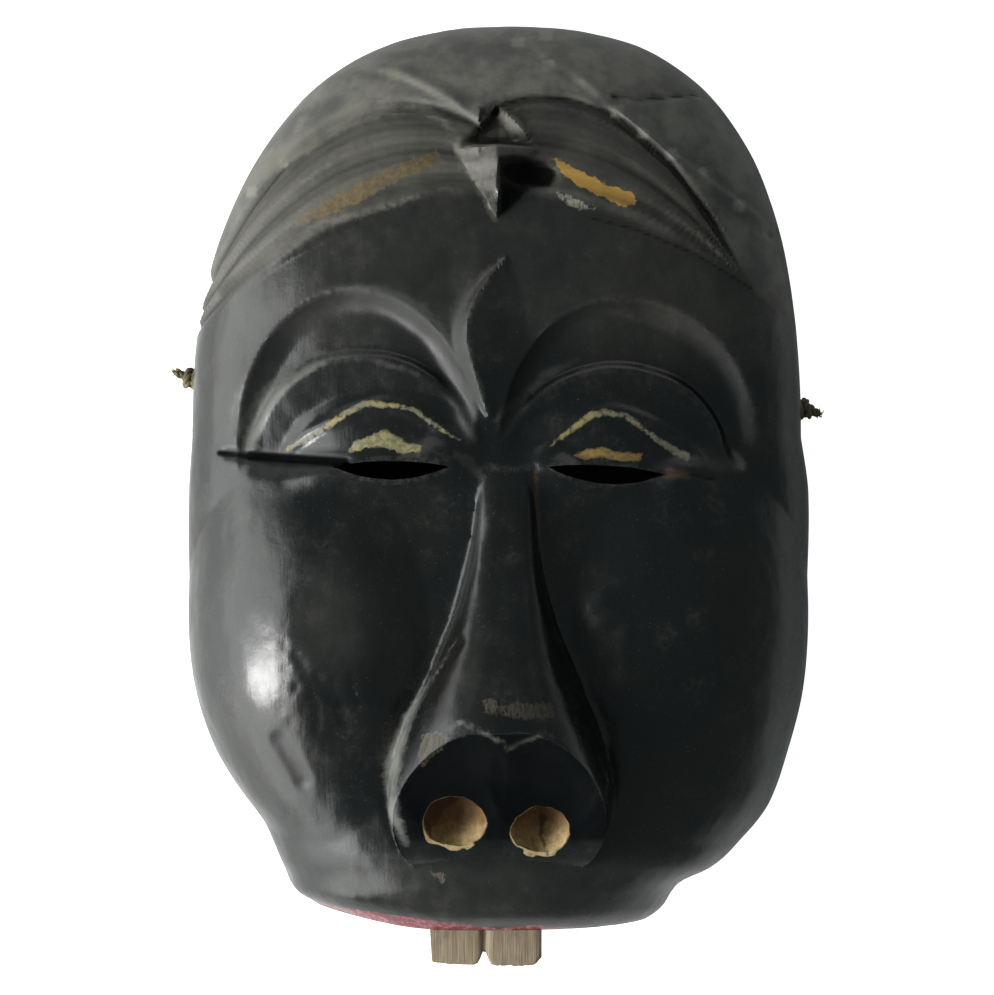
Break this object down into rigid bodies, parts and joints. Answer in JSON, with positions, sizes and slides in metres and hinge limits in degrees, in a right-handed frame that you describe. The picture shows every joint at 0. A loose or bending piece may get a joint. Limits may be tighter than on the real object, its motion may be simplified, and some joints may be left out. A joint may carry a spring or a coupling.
{
  "type": "carved half mask",
  "caption": "Black painted wooden half mask with narrowed eyes, broad nose and two front teeth, hollowed behind and worn with a knotted head cord.",
  "frame": {"origin": "middle of the outline of the mask and its teeth, in the plane of the back rim that the mask lies on", "axes": "+Z out of the face, +Y from the lip to the crown, +X to the right as the face is looked at"},
  "size_m": [0.1621, 0.2251, 0.0827],
  "materials": {
    "painted_wood": "satin black paint over carved wood, worn",
    "bare_wood": "bare, weathered",
    "cord_fibre": "twisted plant fibre, dull"
  },
  "bodies": {
    "root": {"mask_body": "painted_wood", "front_teeth": "bare_wood", "head_cord": "cord_fibre", "cord_knot_left": "cord_fibre", "cord_knot_right": "cord_fibre"}
  },
  "joints": []
}
